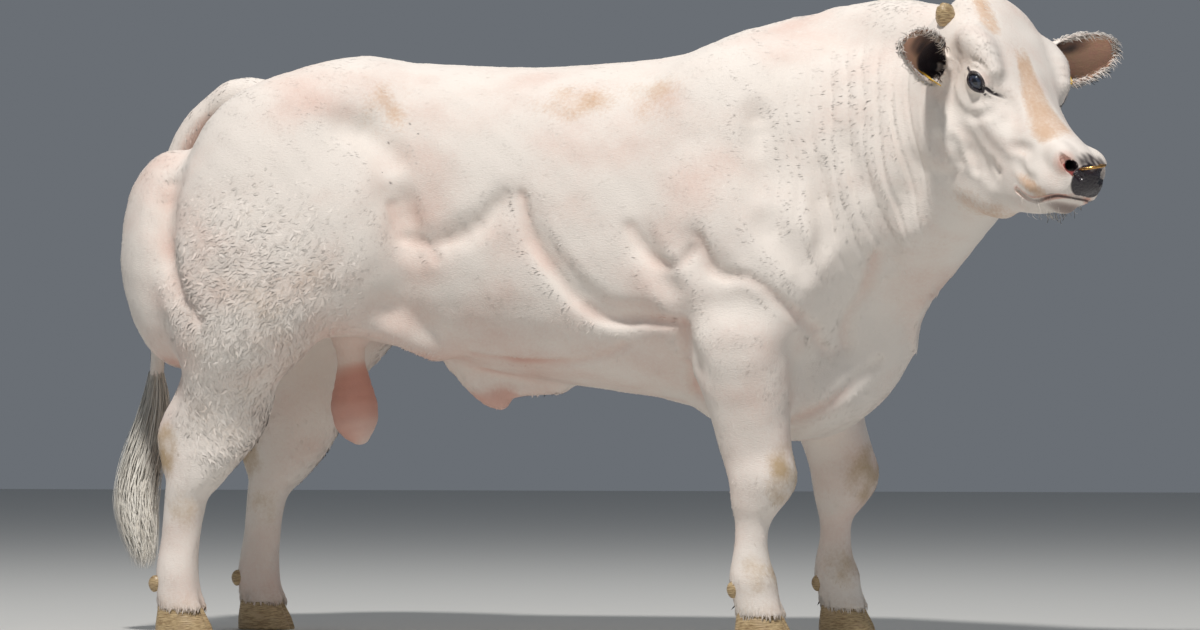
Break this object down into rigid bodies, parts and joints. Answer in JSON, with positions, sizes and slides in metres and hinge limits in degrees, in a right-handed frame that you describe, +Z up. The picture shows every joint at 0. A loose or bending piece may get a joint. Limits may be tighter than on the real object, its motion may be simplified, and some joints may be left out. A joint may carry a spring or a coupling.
{
  "type": "belgian blue cattle",
  "caption": "Life-size still model of a standing double-muscled white bull, its head turned to one side, with a nose ring and ear tags.",
  "frame": {"origin": "on the floor under the middle of the whole bull", "axes": "+X forward to the head, +Y to the bull's left, +Z up"},
  "size_m": [2.5158, 0.9994, 1.4909],
  "materials": {
    "coat": "short white and cream hair over pink skin",
    "skin": "bare pink skin",
    "eye": "wet, near black with a blue-grey ring",
    "horn": "dull pale horn",
    "brass": "polished copper-coloured brass",
    "yellow_plastic": "matt",
    "hair": "long white hair in loose locks"
  },
  "bodies": {
    "root": {"ear_left": "coat", "ear_right": "coat", "ear_tag_left": "yellow_plastic", "ear_tag_right": "yellow_plastic", "eye_left": "eye", "eye_right": "eye", "fore_left_claw_left": "horn", "fore_left_claw_right": "horn", "fore_left_dewclaw_left": "horn", "fore_left_dewclaw_right": "horn", "fore_right_claw_left": "horn", "fore_right_claw_right": "horn", "fore_right_dewclaw_left": "horn", "fore_right_dewclaw_right": "horn", "foreleg_left": "coat", "foreleg_right": "coat", "head": "coat", "hind_left_claw_left": "horn", "hind_left_claw_right": "horn", "hind_left_dewclaw_left": "horn", "hind_left_dewclaw_right": "horn", "hind_right_claw_left": "horn", "hind_right_claw_right": "horn", "hind_right_dewclaw_left": "horn", "hind_right_dewclaw_right": "horn", "hindleg_left": "coat", "hindleg_right": "coat", "horn_bud_left": "horn", "horn_bud_right": "horn", "neck": "coat", "nose_ring": "brass", "scrotum": "skin", "sheath": "coat", "tail": "coat", "tail_switch": "hair", "torso": "coat"}
  },
  "joints": []
}
